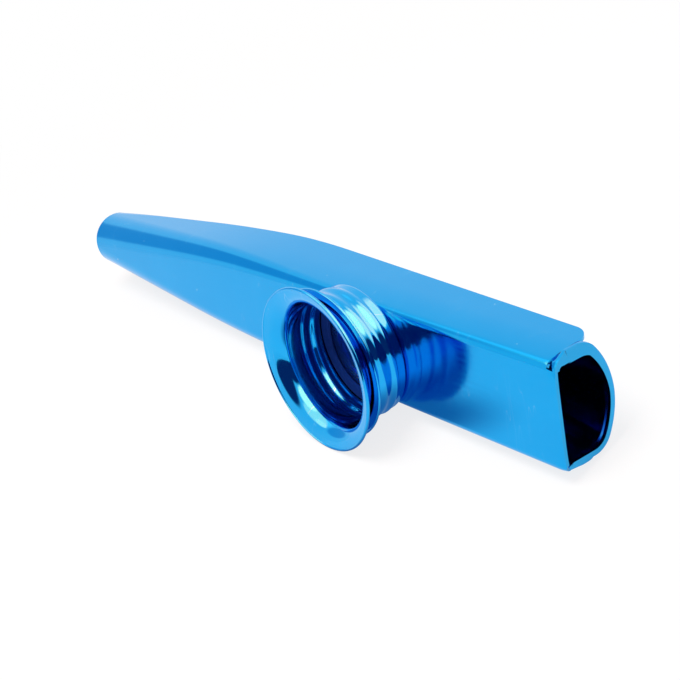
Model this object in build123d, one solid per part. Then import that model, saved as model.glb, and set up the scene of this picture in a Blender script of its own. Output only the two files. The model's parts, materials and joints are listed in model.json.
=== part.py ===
from build123d import *
import os
from math import acos, atan2, cos, degrees, hypot, radians, sin, sqrt

# Metal kazoo: a body of two stamped sheets with lapped seams, and a screwed turret that holds
# a membrane. Every piece is modelled on the kazoo's own axes, in millimetres: X runs along the
# body to the mouth end, Z stands out of the turret and Y points to the upper flap. Height 0 is
# the outer face of the front wall, and the turret's axis is at X = Y = 0. At the end the whole
# is turned on its side, as it lies on a table: on the crown's rim and the lower flap's edge.

# Body
mouth_reach = 38.0
outlet_reach = 82.0
body_width = 15.4
outlet_diameter = 9.5
sheet = 0.5
lap_gap = 0.06
front_bend = 1.0
bend_start = 10.0
bend_blend = 20.0
mouth_depth = 9.35
turret_depth = 11.8
back_corner = 4.0
back_crown = 11.0
shoulder_start = 23.5
shoulder_blend = 28.0
flange_lead = 1.6

# Flaps of the turret half
upper_flap_mouth = 8.3
upper_flap_shoulder = 11.2
upper_flap_setback = 1.1
upper_flap_corner = 2.2
lower_flap_depth = 7.0
lower_flap_setback = 0.4
lower_flap_corner = 2.2
outlet_flap_depth = 6.1
flap_edge_bend = 120.0
mouth_lip = 0.3

# Turret cup and its eyelet
cup_wall = 0.35
neck_radius = 9.3
neck_height = 6.2
neck_bend = 0.5
lip_width = 1.65
lip_bend = 0.9
lip_bevel = 0.6
eyelet_edge = 2.0
eyelet_bend = 0.15
eyelet_play = 0.05
crimp_width = 0.9

# Crown: its spreads are measured out from its threaded tube, its rises up from the cup's lip
crown_wall = 0.35
throat_drop = 0.7
throat_spread = 0.45
throat_rise = 0.95
flare_spread = 1.6
flare_rise = 2.0
rim_spread = 3.1
rim_rise = 2.95
bead_radius = 0.42
throat_bend = 0.8
flare_bend = 3.0

# Rolled thread between cup and crown
pitch = 2.0
thread_height = 0.3
thread_foot = 1.1
thread_tip = 0.5
thread_play = 0.1
thread_start = 0.9
thread_end = 1.07
hollow_depth = 0.2

# Membrane
ring_width = 1.9
ring_thickness = 0.5
film_thickness = 0.08
seat_play = 0.05

# Construction
round_share = 0.985
past_end = 1.0
flap_trim = 4.0
least_bend = 0.08
root_depth = 0.12
box_tolerance = 0.005

# Worked out from the sizes above
half_width = body_width / 2
outlet_radius = outlet_diameter / 2
nest = sheet + lap_gap
taper_run = outlet_reach - shoulder_start
lip_radius = neck_radius + lip_width
eyelet_radius = half_width - eyelet_edge
cup_bore = neck_radius - cup_wall
crown_outer = cup_bore - thread_play
crown_bore = crown_outer - crown_wall
throat_start = neck_height - throat_drop
rim_radius = crown_outer + rim_spread
rim_height = neck_height + rim_rise
membrane_radius = cup_bore - neck_bend + cup_wall / 2 - seat_play
ring_bore = membrane_radius - ring_width
film_low = cup_wall + seat_play
ring_low = film_low + film_thickness
crown_low = ring_low + ring_thickness + seat_play
thread_low = crown_low + thread_start
thread_turns = (throat_start - thread_end - thread_low) / pitch
groove_low = thread_low - pitch / 4
bead_center = (rim_radius - bead_radius, rim_height - bead_radius)

# Places along X where the body's sections are drawn
stations = [mouth_reach - step * (mouth_reach - bend_start) / 3 for step in range(4)]
stations += [-step * shoulder_start / 2 for step in range(3)]
stations += [-shoulder_start - step * taper_run / 6 for step in range(1, 7)]


def grown(run, blend, length):
    """Share from 0 to 1 that starts level, bends up over the blend and then runs straight."""
    run = max(run, 0.0)
    gain = run * run / (2 * blend) if run < blend else run - blend / 2
    return gain / (length - blend / 2)


def taper_share(x):
    return grown(-x - shoulder_start, shoulder_blend, taper_run)


def mix(straight, outlet, share):
    return straight + (outlet - straight) * share


def half_width_at(x):
    return mix(half_width, outlet_radius, taper_share(x))


def bend_at(x):
    share = grown(bend_start - x, bend_blend, bend_start + outlet_reach)
    bend = mix(front_bend, outlet_radius, share)
    return min(bend, half_width_at(x) * round_share)


def section_plane(x):
    return Plane(origin=(x, 0, 0), x_dir=(0, 1, 0), z_dir=(1, 0, 0))


def turret_section(x, inset):
    """Rounded box that the turret half's front wall and flaps follow at x."""
    blank = mix(upper_flap_shoulder + flap_trim, outlet_diameter, taper_share(x))
    width = 2 * (half_width_at(x) - inset)
    box = RectangleRounded(width, blank - 2 * inset, bend_at(x) - inset)
    return section_plane(x) * (Pos(0, -blank / 2) * box)


def back_depth(x):
    to_mouth = max(x - bend_start, 0.0) / (mouth_reach - bend_start)
    straight = turret_depth - (turret_depth - mouth_depth) * to_mouth**2
    return mix(straight, outlet_diameter - nest, taper_share(x))


def arc_between(center, radius, first, last):
    return CenterArc(center, radius, first, last - first)


def back_section(x, inset):
    """Rounded trough of the back half at x, closed at the front by a line that is cut off later."""
    share = taper_share(x)
    outlet_back = outlet_radius - nest
    side = half_width_at(x) - nest - inset
    front = -nest - inset
    bend = max(bend_at(x) - nest - inset, least_bend)
    corner = mix(back_corner, outlet_back * round_share, share) - inset
    crown = mix(back_crown, outlet_back * (2 - round_share), share) - inset
    crown_center = crown + inset - back_depth(x)
    reach = side - corner
    corner_center = crown_center - sqrt((crown - corner) ** 2 - reach**2)
    turn = degrees(atan2(reach, crown_center - corner_center))
    joint_y = crown * sin(radians(turn))
    joint_z = crown_center - crown * cos(radians(turn))
    outline = [
        Line((bend - side, front), (side - bend, front)),
        arc_between((side - bend, front - bend), bend, 90, 0),
        Line((side, front - bend), (side, corner_center)),
        arc_between((reach, corner_center), corner, 0, turn - 90),
        ThreePointArc((joint_y, joint_z), (0, crown_center - crown), (-joint_y, joint_z)),
        arc_between((-reach, corner_center), corner, 270 - turn, 180),
        Line((-side, corner_center), (-side, front - bend)),
        arc_between((bend - side, front - bend), bend, 180, 90),
    ]
    return section_plane(x) * make_face(outline)


def turret_skin(inset):
    """Solid inside the turret half's faces: straight from the mouth end, then lofted to the outlet."""
    straight = extrude(turret_section(bend_start, inset), amount=mouth_reach - bend_start)
    return straight + loft([turret_section(x, inset) for x in stations if x <= bend_start])


def back_skin(inset):
    return loft([back_section(x, inset) for x in stations])


def stamped_shell(skin, front):
    """Sheet between a skin and the same skin one sheet further in, up to the given height."""
    length = 2 * (mouth_reach + outlet_reach)
    tall = 4 * body_width
    return (skin(0) - skin(sheet)) & Pos(0, 0, front - tall / 2) * Box(length, tall, tall)


def flap_offcut(direction, mouth, shoulder, setback, corner):
    """What is trimmed off one flap: all behind its free edge, and the step at the mouth end."""
    far = -outlet_reach - past_end
    near = mouth_reach + past_end
    step = mouth_reach - setback
    lip = -front_bend - mouth_lip
    deep = -2 * (upper_flap_shoulder + flap_trim)
    flap_tip = (step, -mouth)
    shoulder_tip = (-shoulder_start, -shoulder)
    trim_line = [(near, lip), (step, lip), flap_tip, shoulder_tip]
    trim_line += [(far, -outlet_flap_depth), (far, deep), (near, deep)]
    face = make_face(Polyline(*trim_line, close=True))
    face = fillet(face.vertices().sort_by_distance(flap_tip)[0], corner)
    face = fillet(face.vertices().sort_by_distance(shoulder_tip)[0], flap_edge_bend)
    return extrude(Plane.XZ * face, amount=body_width, dir=(0, direction, 0))


def bent_sheet(points, bends, wall):
    """Profile of a bent sheet whose middle line has these (radius, height) points, round at its ends."""
    middle = FilletPolyline(*points, radius=bends)
    return make_face(offset(middle, amount=wall / 2, side=Side.BOTH))


def turned(profile):
    return revolve(Plane.XZ * profile, Axis.Z)


def thread(foot_radius, height, spread, low, turns):
    """Helical ridge that stands on a cylinder, its flanks moved out by the spread."""
    helix = Helix(pitch, pitch * turns, foot_radius, center=(0, 0, low))
    start = Plane(origin=helix @ 0, x_dir=(1, 0, 0), z_dir=helix % 0)
    flank = (thread_foot - thread_tip) / (2 * thread_height)
    foot = thread_foot / 2 + spread + root_depth * flank
    tip = thread_foot / 2 + spread - height * flank
    corners = [(-root_depth, -foot), (height, -tip), (height, tip), (-root_depth, foot)]
    return sweep(start * make_face(Polyline(*corners, close=True)), path=helix, is_frenet=True)


def make_turret_half():
    half = stamped_shell(turret_skin, past_end)
    half -= flap_offcut(
        1, upper_flap_mouth, upper_flap_shoulder, upper_flap_setback, upper_flap_corner
    )
    half -= flap_offcut(
        -1, lower_flap_depth, lower_flap_depth, lower_flap_setback, lower_flap_corner
    )
    hole = eyelet_radius + eyelet_bend + eyelet_play
    return half - Cylinder(hole, 4 * sheet)


def make_back_half():
    return stamped_shell(back_skin, -flange_lead)


def cup_lip():
    """Profile of the out-turned lip, with a hollow bend under it that runs into the neck."""
    root = neck_radius - cup_wall / 2
    under = neck_height - cup_wall
    bend_low = under - lip_bend
    edge = lip_radius - cup_wall / 2
    outline = [
        Line((root, neck_height), (edge, neck_height)),
        CenterArc((edge, neck_height - cup_wall / 2), cup_wall / 2, 90, -180),
        Line((edge, under), (neck_radius + lip_bend, under)),
        CenterArc((neck_radius + lip_bend, bend_low), lip_bend, 90, 90),
        Line((neck_radius, bend_low), (root, bend_low)),
        Line((root, bend_low), (root, neck_height)),
    ]
    return make_face(outline)


def cup_bevel():
    """Profile of the cone that opens the cup's bore towards its lip."""
    low = neck_height - lip_bevel - past_end
    high = neck_height + past_end
    inner = cup_bore - past_end
    outer = cup_bore + lip_bevel + past_end
    return make_face(Polyline((0, low), (inner, low), (outer, high), (0, high), close=True))


def make_turret_cup():
    eyelet_middle = eyelet_radius - cup_wall / 2
    neck_middle = neck_radius - cup_wall / 2
    crimp_middle = -sheet - cup_wall / 2
    points = [
        (eyelet_middle + crimp_width, crimp_middle),
        (eyelet_middle, crimp_middle),
        (eyelet_middle, cup_wall / 2),
        (neck_middle, cup_wall / 2),
        (neck_middle, neck_height + cup_wall),
    ]
    eyelet_turn = eyelet_bend + cup_wall / 2
    profile = bent_sheet(points, [eyelet_turn, eyelet_turn, neck_bend], cup_wall)
    above = Pos(0, neck_height + lip_radius) * Rectangle(4 * lip_radius, 2 * lip_radius)
    cup = turned(profile - above) + turned(cup_lip())
    roll_turns = (neck_height - cup_wall - lip_bend - thread_foot - groove_low) / pitch
    cup += Rot(0, 0, -90) * thread(neck_radius, thread_height, cup_wall / 2, groove_low, roll_turns)
    groove_turns = (neck_height + thread_foot - groove_low) / pitch
    groove = thread(cup_bore, thread_height, thread_play / 2, groove_low, groove_turns)
    return cup - Rot(0, 0, -90) * groove - turned(cup_bevel())


def make_crown():
    middle = crown_outer - crown_wall / 2
    points = [
        (middle, crown_low + crown_wall / 2),
        (middle, throat_start),
        (crown_outer + throat_spread, neck_height + throat_rise),
        (crown_outer + flare_spread, neck_height + flare_rise),
        bead_center,
    ]
    crown = turned(bent_sheet(points, [throat_bend, throat_bend, flare_bend], crown_wall))
    crown += turned(Pos(*bead_center) * Circle(bead_radius))
    crown += thread(crown_outer, thread_height, 0, thread_low, thread_turns)
    return crown - thread(crown_bore, hollow_depth, -crown_wall / 2, thread_low, thread_turns)


def make_disc(radius, low, thickness):
    return Pos(0, 0, low + thickness / 2) * Cylinder(radius, thickness)


def make_membrane_ring():
    ring = make_disc(membrane_radius, ring_low, ring_thickness)
    return ring - make_disc(ring_bore, ring_low, ring_thickness)


def make_membrane_film():
    return make_disc(membrane_radius, film_low, film_thickness)


def side_lean():
    """Lean of the turret's axis above the table when rim and lower flap edge both touch it."""
    across = bead_center[0] - half_width
    along = bead_center[1] + lower_flap_depth
    return degrees(acos(-bead_radius / hypot(across, along)) - atan2(along, across))


pieces = {
    "turret_half": make_turret_half(),
    "back_half": make_back_half(),
    "turret_cup": make_turret_cup(),
    "crown": make_crown(),
    "membrane_ring": make_membrane_ring(),
    "membrane_film": make_membrane_film(),
}

# On its side, with the turret towards -Y and the middle of its lowest face at the origin
lean = side_lean()
on_side = Rot(90 - lean, 0, 0)
lying = {name: on_side * piece for name, piece in pieces.items()}
points = [point for piece in lying.values() for point in piece.tessellate(box_tolerance)[0]]
low = [min(values) for values in zip(*map(tuple, points))]
high = [max(values) for values in zip(*map(tuple, points))]
to_origin = Pos(-(low[0] + high[0]) / 2, -(low[1] + high[1]) / 2, -low[2])
print("lean of the turret axis", round(lean, 4))
print("turret axis meets the front wall at", to_origin.position)
print("box", [round(top - bottom, 3) for bottom, top in zip(low, high)])

os.makedirs("parts", exist_ok=True)
for name, piece in lying.items():
    export_step(to_origin * piece, f"parts/{name}.step")
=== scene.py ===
# %% [markdown]
# # A blue anodised kazoo
# A metal kazoo is two stamped sheets lapped into a tapered tube, with a small screwed turret on its
# front wall. The turret's crown clamps a thin membrane over a hole in that wall. This lesson rebuilds
# each sheet as a clean mesh, because polished metal shows every facet that a plain import has.

# %% Load the frame
import json
import math

import bmesh
import bpy
import numpy as np
from mathutils import Matrix, Vector


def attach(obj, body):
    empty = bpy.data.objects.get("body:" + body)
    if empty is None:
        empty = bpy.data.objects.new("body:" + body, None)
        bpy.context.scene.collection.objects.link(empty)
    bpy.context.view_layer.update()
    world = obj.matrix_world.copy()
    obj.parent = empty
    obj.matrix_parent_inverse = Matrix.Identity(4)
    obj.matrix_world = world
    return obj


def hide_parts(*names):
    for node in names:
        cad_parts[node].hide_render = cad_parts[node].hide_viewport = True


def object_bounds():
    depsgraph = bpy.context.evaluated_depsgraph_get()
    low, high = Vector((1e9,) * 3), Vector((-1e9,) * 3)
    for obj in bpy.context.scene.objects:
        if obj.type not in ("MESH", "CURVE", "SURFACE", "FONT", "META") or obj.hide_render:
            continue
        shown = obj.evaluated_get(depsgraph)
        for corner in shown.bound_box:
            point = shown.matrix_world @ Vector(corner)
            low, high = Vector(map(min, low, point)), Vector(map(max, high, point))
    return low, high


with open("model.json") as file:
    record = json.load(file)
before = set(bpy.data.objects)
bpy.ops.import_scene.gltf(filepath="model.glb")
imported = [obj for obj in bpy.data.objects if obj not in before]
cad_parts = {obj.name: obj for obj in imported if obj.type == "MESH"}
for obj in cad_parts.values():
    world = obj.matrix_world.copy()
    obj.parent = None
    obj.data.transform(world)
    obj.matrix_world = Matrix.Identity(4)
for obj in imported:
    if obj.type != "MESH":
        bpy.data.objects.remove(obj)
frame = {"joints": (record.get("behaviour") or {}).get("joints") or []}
cad_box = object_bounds()

# %% [markdown]
# The kazoo lies on its side, leaning on its crown, so its own axes are tilted. It is far easier to draw
# each piece along the kazoo's axes in millimetres and to move the finished mesh at the end. The crown's
# hinge gives the place and the tilt: it stands on the outer face of the front wall and points out of
# the turret.

# %% The kazoo's own axes
MM = 0.001
crown_turn = next(joint for joint in frame["joints"] if joint["name"] == "crown_turn")
turret_way = Vector(crown_turn["axis"]).normalized()
mouth_way = Vector((1, 0, 0))
flap_way = turret_way.cross(mouth_way)
axes = Matrix((mouth_way, flap_way, turret_way)).transposed().to_4x4()
kazoo_place = Matrix.Translation(Vector(crown_turn["pos_m"])) @ axes @ Matrix.Scale(MM, 4)
print("turret points", [round(part, 3) for part in turret_way])

# %% [markdown]
# ## Finishes
# A material is a tree of nodes. Building it in a script is long-winded, so a few helpers come first: one
# adds a node and fills its inputs, and the others wrap the kinds of node that come up most.

# %% Helpers for nodes
def new_material(name):
    material = bpy.data.materials.new(name)
    material.use_nodes = True
    tree = material.node_tree
    return material, tree, tree.nodes["Principled BSDF"]


def add_node(tree, kind, settings=None, inputs=None):
    """Adds a node, sets its properties, and sets or links its inputs."""
    node = tree.nodes.new(kind)
    for key, value in (settings or {}).items():
        setattr(node, key, value)
    for key, value in (inputs or {}).items():
        if isinstance(value, bpy.types.NodeSocket):
            tree.links.new(value, node.inputs[key])
        else:
            node.inputs[key].default_value = value
    return node


def number(tree, operation, *values):
    """A math node's result, from numbers and sockets."""
    node = add_node(tree, "ShaderNodeMath", {"operation": operation}, dict(enumerate(values)))
    return node.outputs[0]


# %% Helpers for patterns
def ranged(tree, value, start=0.0, end=1.0, low=0.0, high=1.0, smooth=False):
    """Goes from low to high while a value goes from start to end, evenly or over a smooth step."""
    kind = "SMOOTHSTEP" if smooth else "LINEAR"
    node = add_node(tree, "ShaderNodeMapRange", {"interpolation_type": kind}, {
        "Value": value, "From Min": start, "From Max": end, "To Min": low, "To Max": high})
    return node.outputs["Result"]


def blend(tree, share, first, second):
    """Mixes two colours, each given as three numbers or as a socket."""
    ends = [end if isinstance(end, bpy.types.NodeSocket) else (*end, 1) for end in (first, second)]
    node = add_node(tree, "ShaderNodeMix", {"data_type": "RGBA"}, {
        "Factor": share, "A": ends[0], "B": ends[1]})
    return node.outputs["Result"]


def in_millimetres(tree, stretch=(1, 1, 1)):
    """Object coordinates in millimetres. A stretch below 1 draws a pattern out along that axis."""
    where = add_node(tree, "ShaderNodeTexCoord").outputs["Object"]
    scale = [part / MM for part in stretch]
    place = add_node(tree, "ShaderNodeMapping", inputs={"Vector": where, "Scale": scale})
    return place.outputs["Vector"]


def noise(tree, where, scale, detail):
    node = add_node(tree, "ShaderNodeTexNoise", inputs={
        "Vector": where, "Scale": scale, "Detail": detail})
    return node.outputs["Fac"]


# %% [markdown]
# Anodising grows a clear, dyed skin on aluminium. It still reflects like metal, so the blue belongs in
# the metal's own reflection and not in a paint layer. The dye takes a little unevenly, the rolled sheet
# has a faint grain, and handling leaves a few specks and hairline scratches. Painted images could show
# all this, but noise on object coordinates needs no unwrapping and stays put when a piece moves.

# %% Anodised metal
RUBBED_METAL = (0.55, 0.78, 0.95)


def anodised(name, pale, deep, gloss, dull, peel_depth, clear):
    """Dyed metal: colour between two blues, roughness between two values, light wear and a faint peel."""
    material, tree, metal = new_material(name)
    spot = in_millimetres(tree)
    cloud = noise(tree, spot, scale=0.16, detail=4.0)
    cells = add_node(tree, "ShaderNodeTexVoronoi", inputs={"Vector": spot, "Scale": 0.22})
    speck = ranged(tree, cells.outputs["Distance"], start=0.018, end=0.045, low=0.85, high=0.0)
    strands = noise(tree, in_millimetres(tree, stretch=(1, 0.1, 0.1)), scale=0.6, detail=1.0)
    beside = number(tree, "ABSOLUTE", number(tree, "SUBTRACT", strands, 0.5))
    hairline = ranged(tree, beside, start=0.0, end=0.004, low=0.22, high=0.0)
    scratch = number(tree, "MULTIPLY", hairline, ranged(tree, cloud, start=0.5, end=0.6))
    wear = number(tree, "MAXIMUM", speck, scratch)
    colour = blend(tree, wear, blend(tree, cloud, deep, pale), RUBBED_METAL)
    tree.links.new(colour, metal.inputs["Base Color"])
    grain = noise(tree, in_millimetres(tree, stretch=(0.05, 1, 1)), scale=3.0, detail=3.0)
    roughness = ranged(tree, grain, start=0.3, end=0.7, low=gloss, high=dull)
    tree.links.new(roughness, metal.inputs["Roughness"])
    peel = noise(tree, spot, scale=0.9, detail=2.0)
    bump = add_node(tree, "ShaderNodeBump", inputs={
        "Height": peel, "Strength": 0.5, "Distance": peel_depth * MM})
    tree.links.new(bump.outputs["Normal"], metal.inputs["Normal"])
    metal.inputs["Metallic"].default_value = 1.0
    metal.inputs["Specular Tint"].default_value = (0.75, 0.9, 1.0, 1)
    metal.inputs["Coat Weight"].default_value = clear
    metal.inputs["Coat Roughness"].default_value = 0.04
    return material


# %% The three blue finishes
body_finish = anodised(
    "body_anodised_finish", pale=(0.004, 0.385, 0.83), deep=(0.002, 0.355, 0.79),
    gloss=0.11, dull=0.16, peel_depth=0.006, clear=0.15)
turret_finish = anodised(
    "turret_anodised_finish", pale=(0.004, 0.42, 0.88), deep=(0.002, 0.37, 0.82),
    gloss=0.07, dull=0.11, peel_depth=0.003, clear=0.4)
edge_finish = anodised(
    "sheared_edge_finish", pale=(0.035, 0.40, 0.78), deep=(0.015, 0.33, 0.70),
    gloss=0.16, dull=0.26, peel_depth=0.02, clear=0.1)
print("metal finishes:", body_finish.name, turret_finish.name, edge_finish.name)

# %% [markdown]
# The membrane is a card ring with a clear skin under it. Card is matt with a fibrous mottle. The skin
# lets most light through and has a patchy gloss. Deep in the blue throat both look dark blue, and a few
# bounces of light would never tint them enough, so the shade and the blue bounced light are painted into
# their own colours.

# %% Card and skin
def card(name, dark, pale):
    material, tree, board = new_material(name)
    fibre = noise(tree, in_millimetres(tree), scale=2.5, detail=6.0)
    tree.links.new(blend(tree, fibre, dark, pale), board.inputs["Base Color"])
    board.inputs["Roughness"].default_value = 0.85
    board.inputs["Specular IOR Level"].default_value = 0.15
    return material


def skin(name, tint):
    material, tree, film = new_material(name)
    cloud = noise(tree, in_millimetres(tree), scale=0.7, detail=3.0)
    tree.links.new(ranged(tree, cloud, low=0.10, high=0.35), film.inputs["Roughness"])
    film.inputs["Base Color"].default_value = (*tint, 1)
    film.inputs["Transmission Weight"].default_value = 0.8
    film.inputs["IOR"].default_value = 1.2
    return material


# Painted shade: the dark blues of card and skin stand for the shade and the blue bounced light deep in
# the throat.
card_painted_shade = card("membrane_card_painted_shade", dark=(0.002, 0.020, 0.15), pale=(0.006, 0.045, 0.28))
skin_painted_shade = skin("membrane_skin_painted_shade", tint=(0.02, 0.10, 0.55))
print("membrane finishes:", card_painted_shade.name, skin_painted_shade.name)

# %% [markdown]
# ## The turret
# The cup and the crown are spun from thin sheet, and their screw thread is rolled into it: the wall
# bulges along a helix, inside and out. A spin with a screw modifier gives the turn but not the rolled
# wall. So one Geometry Nodes tree makes every turned piece: it takes the outline of the sheet's cut
# edge, lays a grid with one row per outline point, and bends the grid round the axis. The thread is
# added to the radius on the way, from the height and the turn.

# %% Inputs of the tree for a turned sheet
FULL_TURN = 2 * math.pi
SEAM_GAP = 0.0005

turned_sheet = bpy.data.node_groups.new("Turned sheet with a rolled thread", "GeometryNodeTree")
sockets = turned_sheet.interface
sockets.new_socket("Outline", in_out="INPUT", socket_type="NodeSocketGeometry")
sockets.new_socket("Segments", in_out="INPUT", socket_type="NodeSocketInt")
for label in ("Pitch", "Roll height", "Roll low", "Roll high", "Roll fade"):
    sockets.new_socket(label, in_out="INPUT", socket_type="NodeSocketFloat")
sockets.new_socket("Finish", in_out="INPUT", socket_type="NodeSocketMaterial")
sockets.new_socket("Piece", in_out="OUTPUT", socket_type="NodeSocketGeometry")
print("inputs of the tree:", [item.name for item in sockets.items_tree if item.in_out == "INPUT"])


# %% The rolled thread
def rolled_thread(tree, given, height, turn):
    """What the thread adds to the radius: a wave along the helix, faded out at both ends."""
    climb = number(tree, "DIVIDE", number(tree, "SUBTRACT", height, given["Roll low"]), given["Pitch"])
    phase = number(tree, "MULTIPLY", number(tree, "SUBTRACT", climb, turn), FULL_TURN)
    ridge = number(tree, "MULTIPLY_ADD", number(tree, "COSINE", phase), 0.5, 0.5)
    before = number(tree, "SUBTRACT", given["Roll low"], given["Roll fade"])
    after = number(tree, "ADD", given["Roll high"], given["Roll fade"])
    fade_in = ranged(tree, height, start=before, end=given["Roll low"], smooth=True)
    fade_out = ranged(tree, height, start=given["Roll high"], end=after, low=1.0, high=0.0, smooth=True)
    shown = number(tree, "MULTIPLY", fade_in, fade_out)
    return number(tree, "MULTIPLY", number(tree, "MULTIPLY", ridge, shown), given["Roll height"])


# %% From the outline to the turned piece
def fill_turned_sheet(tree):
    given = add_node(tree, "NodeGroupInput").outputs
    size = add_node(tree, "GeometryNodeAttributeDomainSize", inputs={"Geometry": given["Outline"]})
    rows = size.outputs[0]
    columns = number(tree, "ADD", given["Segments"], 1)
    grid = add_node(tree, "GeometryNodeMeshGrid", inputs={"Vertices X": columns, "Vertices Y": rows})
    index = add_node(tree, "GeometryNodeInputIndex").outputs[0]
    row = number(tree, "MODULO", index, rows)
    column = number(tree, "FLOOR", number(tree, "DIVIDE", index, rows))
    turn = number(tree, "DIVIDE", column, given["Segments"])
    position = add_node(tree, "GeometryNodeInputPosition").outputs[0]
    sample = add_node(tree, "GeometryNodeSampleIndex", {"data_type": "FLOAT_VECTOR"}, {
        "Geometry": given["Outline"], "Value": position, "Index": row})
    outline = add_node(tree, "ShaderNodeSeparateXYZ", inputs={0: sample.outputs[0]}).outputs
    reach = number(tree, "ADD", outline["X"], rolled_thread(tree, given, outline["Z"], turn))
    angle = number(tree, "MULTIPLY", turn, FULL_TURN)
    place = add_node(tree, "ShaderNodeCombineXYZ", inputs={
        "X": number(tree, "MULTIPLY", reach, number(tree, "COSINE", angle)),
        "Y": number(tree, "MULTIPLY", reach, number(tree, "SINE", angle)),
        "Z": outline["Z"]})
    moved = add_node(tree, "GeometryNodeSetPosition", inputs={
        "Geometry": grid.outputs["Mesh"], "Position": place.outputs[0]})
    closed = add_node(tree, "GeometryNodeMergeByDistance", inputs={
        "Geometry": moved.outputs[0], "Distance": SEAM_GAP})
    smooth = add_node(tree, "GeometryNodeSetShadeSmooth", inputs={"Geometry": closed.outputs[0]})
    real = add_node(tree, "GeometryNodeRealizeInstances", inputs={"Geometry": smooth.outputs[0]})
    finish = add_node(tree, "GeometryNodeSetMaterial", inputs={
        "Geometry": real.outputs[0], "Material": given["Finish"]})
    add_node(tree, "NodeGroupOutput", inputs={"Piece": finish.outputs[0]})


fill_turned_sheet(turned_sheet)
print("nodes in the tree:", len(turned_sheet.nodes))

# %% [markdown]
# The cut edge of a bent sheet is its middle line, with each corner rounded, moved out to both sides by
# half the wall and closed by round ends. Working it out from the middle line keeps the wall even, which
# an outline drawn by hand would not.

# %% Middle lines of bent sheets
ARC_STEP = math.radians(7)
LINE_STEP = 0.12


def straight(first, last):
    """Points after the first one along a straight run, at most LINE_STEP apart."""
    steps = max(1, math.ceil(np.linalg.norm(last - first) / LINE_STEP))
    return [first + (last - first) * share for share in np.linspace(0, 1, steps + 1)[1:]]


def rounded_line(points, bends):
    """Points along a line of straight runs, with an arc of the given radius at each inner corner."""
    points = [np.array(point, float) for point in points]
    line = [points[0]]
    for before, corner, after, bend in zip(points, points[1:], points[2:], bends):
        come = (corner - before) / np.linalg.norm(corner - before)
        leave = (after - corner) / np.linalg.norm(after - corner)
        turn = math.acos(np.clip(come @ leave, -1, 1))
        start = corner - come * bend * math.tan(turn / 2)
        inward = (leave - come * (come @ leave)) / math.sin(turn)
        line += straight(line[-1], start)
        steps = max(2, math.ceil(turn / ARC_STEP))
        for angle in np.linspace(0, turn, steps + 1)[1:]:
            line.append(start + bend * (come * math.sin(angle) + inward * (1 - math.cos(angle))))
    return np.array(line + straight(line[-1], points[-1]))


# %% Outlines of bent sheets
END_POINTS = 17


def round_end(center, out, side, radius):
    turns = np.linspace(math.pi / 2, -math.pi / 2, END_POINTS)
    return np.array([center + radius * (side * math.sin(turn) + out * math.cos(turn))
                     for turn in turns])


def sheet_outline(middle, wall, first_end, last_end):
    """A closed outline round a middle line. Each end is a round of the given radius."""
    along = np.gradient(middle, axis=0)
    along /= np.linalg.norm(along, axis=1)[:, None]
    across = np.stack([-along[:, 1], along[:, 0]], axis=1)
    left = middle + across * wall / 2
    right = middle - across * wall / 2
    tail = round_end(middle[-1], along[-1], across[-1], last_end)
    head = round_end(middle[0], -along[0], -across[0], first_end)
    return np.concatenate([left, tail, right[::-1], head, left[:1]])


# %% [markdown]
# A finished mesh is moved to its place while its object stays at the origin, as the solids do. Then it
# is tied to the body that it moves with and takes the place of its solid. A modifier's result is made a
# plain mesh before that, so that what is placed is what shows.

# %% Placing a finished piece
def add_object(name, data):
    made = bpy.data.objects.new(name, data)
    bpy.context.scene.collection.objects.link(made)
    return made


def finished(name, mesh, body, node):
    """Moves a mesh from the kazoo's axes to its place and registers it as a piece on a body."""
    mesh.name = name
    mesh.transform(kazoo_place)
    mesh.update()
    piece = add_object(name, mesh)
    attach(piece, body)
    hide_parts(node)
    print(name, "has", len(mesh.polygons), "faces")


# %% Turning an outline
TINY_EDGE = 1e-5


def evaluated_mesh(source):
    """The mesh that an object's modifiers make, after which the object itself is removed."""
    shown = source.evaluated_get(bpy.context.evaluated_depsgraph_get())
    mesh = bpy.data.meshes.new_from_object(shown)
    source.modifiers.clear()
    bpy.data.objects.remove(source)
    return mesh


def turn_outline(name, outline, finish, segments, roll):
    """Runs the turned sheet tree on an outline of radius and height."""
    mesh = bpy.data.meshes.new(name + " outline")
    links = [(place, place + 1) for place in range(len(outline) - 1)]
    mesh.from_pydata([(radius, 0, height) for radius, height in outline], links, [])
    source = add_object(name + " outline", mesh)
    modifier = source.modifiers.new("Turned sheet", "NODES")
    modifier.node_group = turned_sheet
    values = {"Segments": segments, "Finish": finish, **roll}
    for item in turned_sheet.interface.items_tree:
        if item.in_out == "INPUT" and item.name in values:
            modifier[item.identifier] = values[item.name]
    result = evaluated_mesh(source)
    made = bmesh.new()
    made.from_mesh(result)
    bmesh.ops.dissolve_degenerate(made, dist=TINY_EDGE, edges=made.edges)
    bmesh.ops.recalc_face_normals(made, faces=made.faces)
    made.to_mesh(result)
    made.free()
    return result


# %% [markdown]
# The cup is the turret's fixed part. Its floor lies on the front wall, and its inner edge goes through
# the sound hole and is turned out behind the wall like an eyelet, which holds the cup with no solder. The
# top of its neck is turned out into a lip. It could be stacked from tubes and rings, but one bent line
# keeps the wall even through every bend.

# %% The turret cup
TURRET_SEGMENTS = 256
half_wall = 0.125
neck_radius = 9.4
neck_height = 6.2
floor_bend = 0.5
lip_radius = 10.95
lip_bead = 0.22
lip_bend = 0.9
eyelet_radius = 5.7
eyelet_lap = 0.725
eyelet_bend = 0.325
wall_sheet = 0.5
thread = {"Pitch": 2.0, "Roll low": 1.93, "Roll fade": 0.7}
cup_thread = {**thread, "Roll height": 0.22, "Roll high": 5.2}

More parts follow.
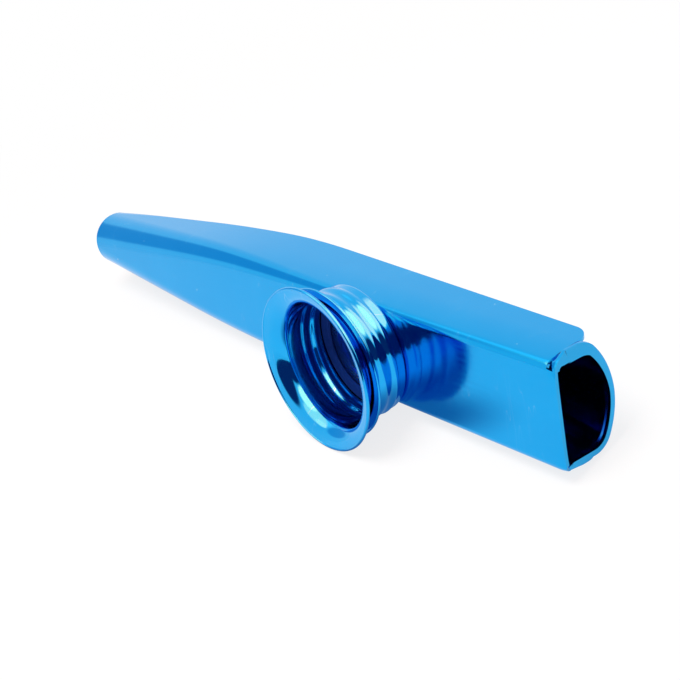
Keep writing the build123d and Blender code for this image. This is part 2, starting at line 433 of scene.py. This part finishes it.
cup_corners = [
    (eyelet_radius + eyelet_lap, -wall_sheet - half_wall),
    (eyelet_radius - half_wall, -wall_sheet - half_wall),
    (eyelet_radius - half_wall, half_wall),
    (neck_radius - half_wall, half_wall),
    (neck_radius - half_wall, neck_height - half_wall),
    (lip_radius - lip_bead, neck_height - half_wall),
]
cup_line = rounded_line(cup_corners, [eyelet_bend, eyelet_bend, floor_bend, lip_bend])
cup_outline = sheet_outline(cup_line, 2 * half_wall, half_wall, lip_bead)
cup_mesh = turn_outline("turret cup", cup_outline, turret_finish, TURRET_SEGMENTS, cup_thread)
finished("turret_cup_spun", cup_mesh, "body", "turret_cup")

# %% [markdown]
# The crown screws into the cup and holds the membrane down. Its throat widens a little and then opens in
# one trumpet curve to the rim, which is curled into a thin bead so that no sharp edge is left. Its thread
# keeps step with the cup's, so the two walls nest. A turned mesh is perfectly true, and a real rim seldom
# is: it dips a little on its upper side, which moves points of the flare and leaves the thread alone.

# %% The crown
crown_middle = 8.8
crown_low = 1.03
throat_start = 4.2
throat_bend = 2.0
bell_middle = 9.2
bell_start = 8.2
bell_bend = 2.4
rim_middle = 11.736
rim_high = 8.846
rim_bead = 0.25
rim_dip = 0.42
crown_thread = {**thread, "Roll height": 0.36, "Roll high": 4.2}

crown_corners = [
    (crown_middle, crown_low + half_wall),
    (crown_middle, throat_start),
    (bell_middle, bell_start),
    (rim_middle, rim_high),
]
crown_line = rounded_line(crown_corners, [throat_bend, bell_bend])
crown_outline = sheet_outline(crown_line, 2 * half_wall, half_wall, rim_bead)
crown_mesh = turn_outline("crown", crown_outline, turret_finish, TURRET_SEGMENTS, crown_thread)
for point in crown_mesh.vertices:
    rise = min(max((point.co.z - neck_height) / (rim_high - neck_height), 0), 1)
    upper_side = (point.co.y / rim_middle + 1) / 2
    point.co.z -= rim_dip * rise ** 2 * (3 - 2 * rise) * upper_side ** 2
finished("crown_spun", crown_mesh, "crown", "crown")

# %% [markdown]
# The membrane lies in the bottom of the cup, and the crown's lower end presses on its card ring. Ring and
# skin are flat round pieces. Two plain cylinders would do, but the same tree makes them with rounded
# edges and no thread.

# %% The membrane
MEMBRANE_SEGMENTS = 128
membrane_radius = 8.575
ring_bore = 6.675
ring_low = 0.48
ring_high = 0.98
ring_round = 0.08
film_low = 0.40
film_high = ring_low - 0.01
film_round = 0.02
plain = {"Pitch": 2.0, "Roll height": 0.0, "Roll low": 0.0, "Roll high": 0.0, "Roll fade": 1.0}

ring_middle = (ring_low + ring_high) / 2
ring_ends = [(ring_bore + ring_round, ring_middle), (membrane_radius - ring_round, ring_middle)]
ring_outline = sheet_outline(rounded_line(ring_ends, []), ring_high - ring_low, ring_round, ring_round)
ring_mesh = turn_outline("membrane ring", ring_outline, card_painted_shade, MEMBRANE_SEGMENTS, plain)
finished("membrane_card_ring", ring_mesh, "membrane", "membrane_ring")

film_corners = [(0, film_low), (membrane_radius, film_low), (membrane_radius, film_high), (0, film_high)]
film_outline = rounded_line(film_corners, [film_round, film_round])
film_mesh = turn_outline("membrane film", film_outline, skin_painted_shade, MEMBRANE_SEGMENTS, plain)
finished("membrane_skin_film", film_mesh, "membrane", "membrane_film")

# %% [markdown]
# ## The body
# The body is straight from the mouth end to past the turret and then narrows to a round outlet, while
# its bends grow. Each sheet is a grid: one line of points along the length for each place round the
# section. A loft between two sections would do, but the grid lets the flaps end where they should and
# gives even, smooth faces for the reflections.

# %% How the body narrows
mouth_reach = 38.0
outlet_reach = 82.0
half_width = 7.7
outlet_radius = 4.75
shoulder_start = 23.5
shoulder_blend = 28.0


def grown(run, blend_run, length):
    """Share of a change along the body: it starts gently over a run, then goes on evenly."""
    run = np.maximum(run, 0)
    gain = np.where(run < blend_run, run ** 2 / (2 * blend_run), run - blend_run / 2)
    return gain / (length - blend_run / 2)


def mix(start, end, share):
    return start + (end - start) * share


def taper_share(x):
    return grown(-x - shoulder_start, shoulder_blend, outlet_reach - shoulder_start)


def half_width_at(x):
    return mix(half_width, outlet_radius, taper_share(x))


print("half width at the outlet:", float(half_width_at(-outlet_reach)))

# %% How the bends grow
bend_start = 10.0
bend_blend = 20.0
front_bend = 1.2
soft_shoulder = 0.4
soft_run = 4.5
soft_reach = 45.0
round_share = 0.985


def bend_at(x):
    bend = mix(front_bend, outlet_radius, grown(bend_start - x, bend_blend, bend_start + outlet_reach))
    return np.minimum(bend, half_width_at(x) * round_share)


def softness_at(x, side):
    """How far the upper flap still springs open past its bend, where the bend is tight."""
    return (side > 0) * soft_shoulder * np.clip(1 + (x - bend_start) / soft_reach, 0, 1)


print("bend at the turret and at the outlet:", float(bend_at(0)), float(bend_at(-outlet_reach)))

# %% [markdown]
# A grid of points is a sheet's outer face. Solidify gives it a wall to the inside, thicker where an edge
# is folded into a hem, with the lighter sheared metal on the rim. Then a cutter may take out a hole,
# Bevel breaks the sharp edges, because a real edge always catches a thin line of light, and weighted
# normals keep the flats flat. Drawing the inner face too would be twice the work and let the wall vary.

# %% A mesh from a grid of points
def grid_mesh(name, points, outward):
    """A mesh from an array of lines of points. Faces are turned so that the middle one looks outward."""
    lines, stations = points.shape[:2]
    count = np.arange(lines * stations).reshape(lines, stations)
    corners = np.stack([count[:-1, :-1], count[1:, :-1], count[1:, 1:], count[:-1, 1:]], axis=-1)
    corners = corners.reshape(-1, 4)
    middle = points[lines // 2: lines // 2 + 2, stations // 2: stations // 2 + 2]
    normal = np.cross(middle[1, 0] - middle[0, 0], middle[0, 1] - middle[0, 0])
    if normal @ np.array(outward) < 0:
        corners = corners[:, ::-1]
    mesh = bpy.data.meshes.new(name)
    mesh.from_pydata(points.reshape(-1, 3).tolist(), [], corners.tolist())
    mesh.shade_smooth()
    print(name, "grid has", lines, "lines of", stations, "points")
    return mesh


# %% Wall and hem
def walled(name, mesh, thickness, hem=None):
    """Gives a grid its wall, thicker by the hem at each point."""
    source = add_object(name, mesh)
    mesh.materials.append(body_finish)
    mesh.materials.append(edge_finish)
    wall = source.modifiers.new("Wall", "SOLIDIFY")
    wall.thickness = thickness
    if hem is not None:
        wall.thickness = thickness + hem.max()
        folded = source.vertex_groups.new(name="hem")
        for place, share in enumerate((hem / hem.max()).ravel()):
            folded.add([place], float(share), "REPLACE")
        wall.vertex_group = folded.name
        wall.thickness_vertex_group = thickness / wall.thickness
    wall.offset = -1
    wall.use_even_offset = True
    wall.use_quality_normals = True
    wall.material_offset_rim = 1
    return evaluated_mesh(source)


# %% Holes and broken edges
SHARP_ANGLE = math.radians(50)


def edged(name, mesh, break_edge, cutter=None):
    """Cuts a sheet, if there is a cutter, and breaks its edges."""
    source = add_object(name, mesh)
    if cutter:
        cut = source.modifiers.new("Cut", "BOOLEAN")
        cut.operation = "DIFFERENCE"
        cut.solver = "EXACT"
        cut.object = cutter
    edge = source.modifiers.new("Broken edges", "BEVEL")
    edge.width = break_edge
    edge.segments = 3
    edge.limit_method = "ANGLE"
    edge.angle_limit = SHARP_ANGLE
    even = source.modifiers.new("Even normals", "WEIGHTED_NORMAL")
    even.keep_sharp = True
    return evaluated_mesh(source)


# %% [markdown]
# The turret half has the flat front wall and two flaps that fold back over the seams. The upper flap is
# deepest at the shoulder and springs open a little past its bend. At the mouth end the upper bend is cut
# back, both flaps stop short and have round corners, and the corners of the front wall are pressed in. A
# plane bent by modifiers would do for a straight tube. Here bends and flaps change along the length, so
# each point is worked out from the section at its station.

# %% The section of the turret half
flap_blank = 15.2
outlet_depth = 9.5


def bend_turn(x, side):
    """Angle that the tight bend turns through. The soft shoulder turns the rest."""
    return math.pi / 2 - np.arctan(2 * softness_at(x, side) / soft_run)


def bend_point(x, share, side):
    """Half width and depth at a share of the bend's turn."""
    bend, full = bend_at(x), bend_turn(x, side)
    turn = full * share
    center = half_width_at(x) - softness_at(x, side) - bend * np.sin(full)
    return center + bend * np.sin(turn), bend * (1 - np.cos(turn))


def flap_side(x, depth, side):
    """Half width of the section at a depth below the front wall, past the bend."""
    bend = bend_at(x)
    below = np.clip(depth - (mix(flap_blank, outlet_depth, taper_share(x)) - bend), 0, bend)
    open_by = np.clip(1 - (depth - bend_point(x, 1, side)[1]) / soft_run, 0, 1) ** 2
    return half_width_at(x) - bend + np.sqrt(bend ** 2 - below ** 2) - softness_at(x, side) * open_by


print("half width below the upper bend, at the mouth:", float(bend_point(mouth_reach, 1, 1)[0]))

# %% The free edges of the flaps
outlet_flap = 6.1
flap_overrun = 1.0
flap_corner = 3.0
shoulder_ease = 8.0
CORNER_LINES = 14
PLAIN_LINES = 12


def flap_depth(x, mouth, shoulder):
    """Depth of a flap's free edge: two straight runs, eased into each other at the shoulder."""
    rise = (shoulder - mouth) / (mouth_reach + shoulder_start)
    fall = (shoulder - outlet_flap) / (outlet_reach + flap_overrun - shoulder_start)
    past = np.clip(-shoulder_start + shoulder_ease - x, 0, None)
    eased = past ** 2 / (4 * shoulder_ease)
    turned = np.where(past < 2 * shoulder_ease, eased, past - shoulder_ease)
    return mouth + rise * (mouth_reach - x) - (rise + fall) * turned


def flap_end(depth, deepest, setback):
    """Where a flap's edge is at the mouth end, at a depth below the front wall."""
    into = np.clip(depth - (deepest - flap_corner), 0, flap_corner)
    return mouth_reach - setback - flap_corner + np.sqrt(flap_corner ** 2 - into ** 2)


def flap_shares(run):
    """Shares of a flap's depth for its lines of points, closer together at the corner."""
    corner = 1 - flap_corner / run * (1 - np.sin(np.linspace(0, math.pi / 2, CORNER_LINES)))
    return np.concatenate([np.linspace(0, corner[0], PLAIN_LINES)[1:], corner[1:]])


# %% Lines of the front wall and its bends
BEND_LINES = 17
mouth_pinch = 0.4
pinch_run = 1.8
pinch_depth = 2.0
pinch_power = 6
cut_start = 0.05
cut_slope = 0.12


def pinch_at(x):
    """How far the corners of the front wall are pressed in at the mouth end."""
    return mouth_pinch * np.clip((x - mouth_reach + pinch_run) / pinch_run, 0, 1) ** 2


def wall_lines(stations, side):
    """Lines from the middle of the front wall to where it starts to bend."""
    x = mix(mouth_reach, -outlet_reach, stations)
    return [(x, side * across * bend_point(x, 0, side)[0], -pinch_at(x) * across ** pinch_power / 2)
            for across in np.linspace(0, 1, BEND_LINES)]


def bend_lines(stations, side, setback):
    """Lines round a bend. At the mouth the upper bend is cut back at once, the lower one by degrees."""
    lines = []
    for share in np.linspace(0, 1, BEND_LINES)[1:]:
        cut = np.clip((share - cut_start) / cut_slope, 0, 1) if side > 0 else share
        x = mix(mouth_reach - setback * cut, -outlet_reach, stations)
        y, depth = bend_point(x, share, side)
        pinch = pinch_at(x)
        lines.append((x, side * (y - pinch * share), -depth - pinch * (1 - share) / 2))
    return lines


# %% Lines of the flaps, and the whole grid
TURRET_STATIONS = 260
turret_crowding = 1.15
# Each flap has its side, its depth at the mouth, its depth at the shoulder and its setback.
lower_flap = (-1, 7.0, 7.0, 0.4)
upper_flap = (1, 8.3, 11.2, 1.3)


def flap_lines(stations, side, mouth, shoulder, setback):
    """Lines from the end of a bend to the flap's free edge."""
    deepest = float(flap_depth(np.array(mouth_reach - setback), mouth, shoulder))
    first = float(bend_point(np.array(mouth_reach), 1, side)[1])
    lines = []
    for share in flap_shares(deepest - first):
        x = mix(flap_end(mix(first, deepest, share), deepest, setback), -outlet_reach, stations)
        depth = mix(bend_point(x, 1, side)[1], flap_depth(x, mouth, shoulder), share)
        pinch = pinch_at(x) * np.clip(1 - (depth - first) / pinch_depth, 0, 1)
        lines.append((x, side * (flap_side(x, depth, side) - pinch), -depth))
    return lines


def turret_half_lines():
    """Lines of points from the lower flap's edge over the front wall to the upper flap's edge."""
    stations = np.linspace(0, 1, TURRET_STATIONS) ** turret_crowding
    lines = []
    for side, mouth, shoulder, setback in (lower_flap, upper_flap):
        half = wall_lines(stations, side) + bend_lines(stations, side, setback)
        half += flap_lines(stations, side, mouth, shoulder, setback)
        lines += half[:0:-1] if side < 0 else half
    return np.array([np.stack(line, axis=-1) for line in lines])


turret_grid = grid_mesh("turret half", turret_half_lines(), (0, 0, 1))

# %% The turret half with its sound hole
hole_play = 0.2
hole_reach = 2.0
turret_break = 0.06


def hole_cutter(radius, reach):
    made = bmesh.new()
    bmesh.ops.create_cone(made, cap_ends=True, segments=96, radius1=radius, radius2=radius,
                          depth=2 * reach)
    mesh = bpy.data.meshes.new("sound hole")
    made.to_mesh(mesh)
    made.free()
    return add_object("sound hole", mesh)


sound_hole = hole_cutter(eyelet_radius + hole_play, hole_reach)
turret_wall = walled("turret half", turret_grid, wall_sheet)
turret_sheet = edged("turret half", turret_wall, turret_break, sound_hole)
bpy.data.objects.remove(sound_hole)
finished("turret_half_stamped", turret_sheet, "body", "turret_half")

# %% [markdown]
# The back half is a rounded trough. Its sides slip inside the flaps by the thickness of the sheet and a
# hair's play, and its back is a shallow arc that turns into the outlet's full round. At the mouth its
# edge is folded into a hem, its upper side flares out past the end of the flap, and its upper free edge
# is rolled into a loop. A loft would round these off, so they are worked into the grid as well.

# %% The section of the back half
nest = 0.56
turret_depth = 11.8
mouth_depth = 9.35
back_corner = 4.0
mouth_corner = 3.2
back_arc = 11.0
least_bend = 0.08
flange_lead = 1.6
mouth_lead = 0.58


def forward_share(x):
    """Zero up to the turret and one at the mouth end."""
    return np.clip(x - bend_start, 0, None) / (mouth_reach - bend_start)


def back_depth(x):
    straight_part = mix(turret_depth, mouth_depth, forward_share(x) ** 2)
    return mix(straight_part, outlet_depth - nest, taper_share(x))


end_depths = [float(back_depth(x)) for x in (mouth_reach, -outlet_reach)]
print("depth at the mouth and at the outlet:", end_depths)

# %% The flared rim and the loop at the mouth
flare = 0.85
flare_run = 0.7
rim_run = 0.4
lip_reach = 1.8
end_slope = 0.4
loop_run = 1.1
loop_depth = 0.15
loop_bend = 1.0


def flare_at(x, hand):
    """How far the upper side stands out at the mouth."""
    step = np.clip((x - mouth_reach + rim_run + flare_run) / flare_run, 0, 1)
    return (hand > 0) * flare * step ** 2 * (3 - 2 * step)


def loop_share(x, hand):
    """Zero where the upper edge is tucked under the flap, and one where it is a free loop."""
    return (hand > 0) * np.clip((x - mouth_reach + loop_run) / (loop_run - rim_run), 0, 1)


# %% One side of the trough
SIDE_LINES = 31
side_crowding = 1.5
ROUND_LINES = 16
BACK_LINES = 14


def back_section(x, hand):
    """Half width, height and flare of each line, from the free edge to the middle of the back."""
    share, forward = taper_share(x), forward_share(x)
    raised, loose = flare_at(x, hand), loop_share(x, hand)
    tube = outlet_radius - nest
    corner = mix(mix(back_corner, mouth_corner, forward), tube * round_share, share)
    arc = mix(back_arc, tube * (2 - round_share), share)
    arc_center = arc - back_depth(x)
    side = half_width_at(x) - nest + raised
    corner_drop = np.sqrt((arc - corner) ** 2 - (side - corner) ** 2)
    corner_center = arc_center - corner_drop
    meet = np.arctan2(corner_drop, side - corner)
    lead = mix(flange_lead, mouth_lead, forward)
    edge_play = mix(nest, loop_depth, loose)
    turned_in = mix(np.maximum(bend_at(x) - nest, least_bend), loop_bend, loose)
    section = []
    for share_down in np.linspace(0, 1, SIDE_LINES)[:-1] ** side_crowding:
        depth = mix(mix(lead, loop_depth, loose), -corner_center, share_down)
        above = np.clip(edge_play + turned_in - depth, 0, turned_in)
        tucked = turned_in - np.sqrt(turned_in ** 2 - above ** 2)
        under_lip = raised * np.clip(1 - (depth - lead) / lip_reach, 0, 1)
        section.append((side - tucked - under_lip, -depth, raised - under_lip))
    for share_round in np.linspace(0, 1, ROUND_LINES)[:-1]:
        turn = meet * share_round
        across = side - corner + corner * np.cos(turn)
        section.append((across, corner_center - corner * np.sin(turn), raised * np.cos(turn)))
    for share_round in np.linspace(0, 1, BACK_LINES):
        turn = mix(meet, math.pi / 2, share_round)
        section.append((arc * np.cos(turn), arc_center - arc * np.sin(turn), raised * np.cos(turn)))
    return section


# %% The whole grid and its hem
BACK_STATIONS = 280
back_crowding = 1.3
hem_fold = 0.25
hem_run = 1.2


def back_half_lines(x):
    """Lines of points from the upper side round the back to the lower side, and the hem's thickness."""
    fold = hem_fold * np.clip(2 * (x - mouth_reach + hem_run) / hem_run, 0, 1)
    lines, hem = [], []
    for hand in (1, -1):
        section = back_section(x, hand)
        for across, height, spread in section if hand > 0 else section[-2::-1]:
            lines.append(np.stack((x - end_slope * spread, hand * across, height), axis=-1))
            hem.append(fold + spread)
    return np.array(lines), np.array(hem)


back_stations = mix(mouth_reach, -outlet_reach, np.linspace(0, 1, BACK_STATIONS) ** back_crowding)
back_lines, back_hem = back_half_lines(back_stations)
back_grid = grid_mesh("back half", back_lines, (0, 0, -1))

# %% [markdown]
# Solidify lays the inner face along the slanted normals of the flare, which pushes its edge past the
# mouth. Its points come after the outer ones in the same order, so their place along the body is simply
# set again.

# %% The back half with a level mouth
back_break = 0.2
back_wall = walled("back half", back_grid, wall_sheet, back_hem)
inner_places = np.tile(back_stations, len(back_lines))
for place, inner_place in enumerate(inner_places):
    back_wall.vertices[len(inner_places) + place].co.x = inner_place
back_sheet = edged("back half", back_wall, back_break)
finished("back_half_stamped", back_sheet, "body", "back_half")

# %% [markdown]
# ## The studio
# Polished metal shows its surroundings more than its own colour. A white floor gives the kazoo its
# shadow and the metal its even tone. Paper alone would look grey, so far from the kazoo the camera and
# the mirror rays see plain white. Close to it a share of the paper shows through and carries the shadow.
# Under the turret, mirror rays alone see a dim blue patch, a painted shadow for the shade there, so that
# the neck's underside stays deep blue.

# %% Floor
PAPER = (0.86, 0.86, 0.86, 1)
WHITE = (1, 1, 1)
# Colour of the painted shadow under the turret, which only mirror rays see.
PAINTED_SHADOW = (0.14, 0.27, 0.45, 1)
floor_reach = 3.0
mirror_glow = 0.45
camera_extra_glow = 0.35


def away_from(tree, spot, near, far):
    """Zero near a spot and one far from it, over a smooth step. Distances are in metres."""
    where = add_node(tree, "ShaderNodeTexCoord").outputs["Object"]
    gap = add_node(tree, "ShaderNodeVectorMath", {"operation": "DISTANCE"}, {0: where, 1: spot})
    return ranged(tree, gap.outputs["Value"], start=near, end=far, smooth=True)


def floor_material():
    material, tree, paper = new_material("white_paper_floor")
    paper.inputs["Base Color"].default_value = PAPER
    paper.inputs["Roughness"].default_value = 0.9
    glow = add_node(tree, "ShaderNodeEmission", inputs={"Color": (*WHITE, 1), "Strength": 1.0})
    painted_shadow = add_node(tree, "ShaderNodeEmission", inputs={"Color": PAINTED_SHADOW, "Strength": 1.0})
    rays = add_node(tree, "ShaderNodeLightPath").outputs
    mirrored = number(tree, "MAXIMUM", rays["Is Glossy Ray"], rays["Is Transmission Ray"])
    seen = number(tree, "MAXIMUM", rays["Is Camera Ray"], mirrored)
    close = number(tree, "MULTIPLY_ADD", rays["Is Camera Ray"], camera_extra_glow, mirror_glow)
    far = away_from(tree, (0.01, 0, 0), near=0.07, far=0.18)
    share = number(tree, "MULTIPLY", seen, ranged(tree, far, low=close, high=1.0))
    both = add_node(tree, "ShaderNodeMixShader", inputs={
        0: share, 1: paper.outputs[0], 2: glow.outputs[0]})
    # Painted shadow: a dim blue patch under the turret, seen only by mirror rays, stands for the shade
    # there.
    painted_shadow_share = number(tree, "SUBTRACT", 1.0, away_from(tree, (0.026, -0.008, 0), 0.003, 0.016))
    with_painted_shadow = add_node(tree, "ShaderNodeMixShader", inputs={
        0: number(tree, "MULTIPLY", mirrored, painted_shadow_share), 1: both.outputs[0], 2: painted_shadow.outputs[0]})
    tree.links.new(with_painted_shadow.outputs[0], tree.nodes["Material Output"].inputs["Surface"])
    return material


floor_mesh = bpy.data.meshes.new("floor")
floor_corners = [(-floor_reach, -floor_reach, 0), (floor_reach, -floor_reach, 0),
                 (floor_reach, floor_reach, 0), (-floor_reach, floor_reach, 0)]
floor_mesh.from_pydata(floor_corners, [], [(0, 1, 2, 3)])
floor_mesh.materials.append(floor_material())
floor = add_object("floor", floor_mesh)
print("floor is", 2 * floor_reach, "m wide")

# %% [markdown]
# The surround is white, with bright, dim and dark stretches that only mirror rays see and that give the
# bends their bands. A picture of a studio would do the same, but cones of directions can be set one by
# one. The bright stretches are strongest in red, because the dyed metal reflects hardly any red and would
# never look pale under plain white. Diffuse rays see a softer level, so that the paper doesn't clip.

# %% Directions of the surround
def facing(tree, way, wide, edge):
    """One inside a cone round a direction, falling to zero over its edge. Angles are in degrees."""
    where = add_node(tree, "ShaderNodeTexCoord").outputs["Generated"]
    along = add_node(tree, "ShaderNodeVectorMath", {"operation": "DOT_PRODUCT"}, {
        0: where, 1: Vector(way).normalized()})
    outer, inner = math.cos(math.radians(wide + edge)), math.cos(math.radians(wide))
    return ranged(tree, along.outputs["Value"], start=outer, end=inner, smooth=True)


def way_to(azimuth, elevation):
    """Direction at an azimuth from the mouth end's way and an elevation, both in degrees."""
    turn, rise = math.radians(azimuth), math.radians(elevation)
    return Vector((math.cos(turn) * math.cos(rise), math.sin(turn) * math.cos(rise), math.sin(rise)))


# %% Surround
# Each stretch has its direction, its half angle, its soft edge and its colour.
STRETCHES = (
    (way_to(64, 36), 22, 16, (14.0, 2.0, 1.15)),
    (way_to(180, 62), 14, 10, (1.4, 1.4, 1.3)),
    (way_to(-130, 70), 22, 8, (9.0, 1.8, 1.1)),
    (way_to(-143, 51), 8, 5, (12.0, 2.1, 1.15)),
    (way_to(5, 68), 22, 8, (18.0, 2.6, 1.2)),
    (way_to(-164, 23), 14, 6, (0.30, 0.60, 0.78)),
    (way_to(-66, 3), 40, 8, (0.02, 0.04, 0.13)),
    (way_to(-8, 5), 30, 8, (0.02, 0.04, 0.13)),
)
soft_level = 0.55

world = bpy.data.worlds.new("white studio")
bpy.context.scene.world = world
world.use_nodes = True
sky = world.node_tree
mirror_colour = WHITE
for way, wide, edge, colour in STRETCHES:
    mirror_colour = blend(sky, facing(sky, way, wide, edge), mirror_colour, colour)
rays = add_node(sky, "ShaderNodeLightPath").outputs
direct = number(sky, "MAXIMUM", rays["Is Camera Ray"], rays["Is Glossy Ray"])
direct = number(sky, "MAXIMUM", direct, rays["Is Transmission Ray"])
background = sky.nodes["Background"].inputs
sky.links.new(blend(sky, rays["Is Glossy Ray"], WHITE, mirror_colour), background["Color"])
sky.links.new(ranged(sky, direct, low=soft_level, high=1.0), background["Strength"])
print("stretches in the surround:", len(STRETCHES))

# %% [markdown]
# One soft box above lights the paper and draws the soft shadow. It is hidden from mirror rays, because
# the stretches of the surround already make the reflections.

# %% Lamp
lamp_side = 0.2
lamp_power = 1.4
middle = (Vector(cad_box[0]) + Vector(cad_box[1])) / 2
lamp_place = middle + Vector((0.02, -0.06, 0.40))

lamp = bpy.data.lights.new("top soft box", "AREA")
lamp.shape = "RECTANGLE"
lamp.size = lamp_side
lamp.size_y = lamp_side
lamp.energy = lamp_power
soft_box = add_object("top soft box", lamp)
soft_box.location = lamp_place
soft_box.rotation_euler = (middle - lamp_place).to_track_quat("-Z", "Y").to_euler()
soft_box.visible_glossy = False
print("soft box above", [round(part, 4) for part in middle])

# %% [markdown]
# The camera stands off the mouth end, above the turret, and is rolled so that the body runs down across
# the picture. Its place, its aim and its roll are given along the kazoo's own axes.

# %% Camera
eye = kazoo_place @ Vector((142.3, 75.5, 94.4))
aim = kazoo_place @ Vector((-5.71, -0.44, 0.0))
roll = math.radians(26.0)
lens = 70.95

look = (aim - eye).normalized()
level = look.cross(Vector((0, 0, 1))).normalized()
upright = level.cross(look)
up = upright * math.cos(roll) + level * math.sin(roll)
turned_to = Matrix((look.cross(up), up, -look)).transposed().to_4x4()
camera_data = bpy.data.cameras.new("camera")
camera_data.lens = lens
camera_data.sensor_width = 36.0
camera_data.clip_start = 0.005
camera = add_object("camera", camera_data)
camera.matrix_world = Matrix.Translation(eye) @ turned_to
bpy.context.scene.camera = camera
bpy.context.scene.view_settings.view_transform = "Standard"
print("camera is", round((aim - eye).length, 3), "m from the kazoo")

# %% [markdown]
# The dressed kazoo has to be as large as its solids. The last step brings the scene up to date.

# %% Bring the scene up to date
bpy.context.view_layer.update()
